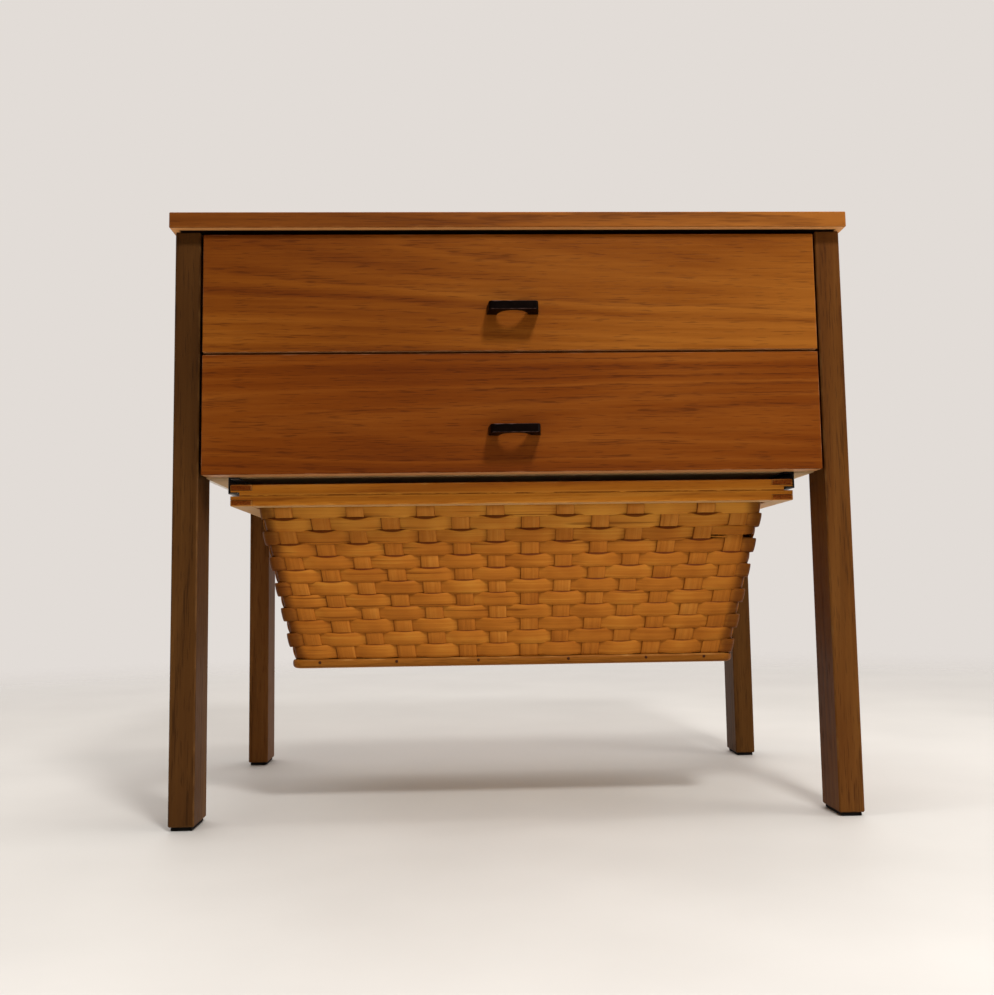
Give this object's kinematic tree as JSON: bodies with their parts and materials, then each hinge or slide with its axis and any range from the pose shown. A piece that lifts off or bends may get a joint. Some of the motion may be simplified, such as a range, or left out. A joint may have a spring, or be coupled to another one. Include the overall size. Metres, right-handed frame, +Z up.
{
  "type": "sewing cabinet",
  "caption": "Low teak sewing table with wide drawers on wooden runners and a tapered woven basket that slides out beneath them in a finger-jointed frame.",
  "frame": {"origin": "middle of the bounding box, on the floor", "axes": "+X to the right seen from the front, -Y out of the drawer fronts, +Z up"},
  "size_m": [0.6, 0.418, 0.532],
  "materials": {
    "teak": "oiled teak",
    "teak_front": "oiled teak veneer",
    "teak_leg": "stained wood",
    "frame_wood": "oiled hardwood",
    "box_wood": "bare wood",
    "splint": "varnished flat splint",
    "pull_black": "satin black",
    "pad_black": "matt black",
    "channel_black": "dark steel",
    "screw_steel": "plain steel"
  },
  "bodies": {
    "cabinet": {"top_board": "teak", "side_panel_left": "teak", "side_panel_right": "teak", "back_panel": "box_wood", "bottom_panel": "box_wood", "leg_front_left": "teak_leg", "pad_front_left": "pad_black", "basket_runner_screw_front_left": "screw_steel", "leg_front_right": "teak_leg", "pad_front_right": "pad_black", "basket_runner_screw_front_right": "screw_steel", "leg_rear_left": "teak_leg", "pad_rear_left": "pad_black", "basket_runner_screw_rear_left": "screw_steel", "leg_rear_right": "teak_leg", "pad_rear_right": "pad_black", "basket_runner_screw_rear_right": "screw_steel", "basket_runner_left": "channel_black", "basket_runner_right": "channel_black", "upper_drawer_runner_left": "frame_wood", "upper_drawer_runner_right": "frame_wood", "lower_drawer_runner_left": "frame_wood", "lower_drawer_runner_right": "frame_wood"},
    "upper_drawer": {"upper_drawer_front": "teak_front", "upper_drawer_floor": "box_wood", "upper_drawer_side_left": "box_wood", "upper_drawer_side_right": "box_wood", "upper_drawer_back": "box_wood", "upper_drawer_pull": "pull_black", "upper_drawer_pull_screw_left": "screw_steel", "upper_drawer_pull_screw_right": "screw_steel"},
    "lower_drawer": {"lower_drawer_front": "teak_front", "lower_drawer_floor": "box_wood", "lower_drawer_side_left": "box_wood", "lower_drawer_side_right": "box_wood", "lower_drawer_back": "box_wood", "lower_drawer_pull": "pull_black", "lower_drawer_pull_screw_left": "screw_steel", "lower_drawer_pull_screw_right": "screw_steel"},
    "basket": {"basket_rail_front": "frame_wood", "basket_rail_back": "frame_wood", "basket_rail_left": "frame_wood", "basket_rail_right": "frame_wood", "basket_body": "splint", "basket_base": "frame_wood"}
  },
  "joints": [
    {"name": "upper_drawer_slide", "type": "slide", "parent": "cabinet", "child": "upper_drawer", "axis": [0, -1, 0], "range_m": [0, 0.26]},
    {"name": "lower_drawer_slide", "type": "slide", "parent": "cabinet", "child": "lower_drawer", "axis": [0, -1, 0], "range_m": [0, 0.26]},
    {"name": "basket_slide", "type": "slide", "parent": "cabinet", "child": "basket", "axis": [0, -1, 0], "range_m": [0, 0.26]}
  ]
}
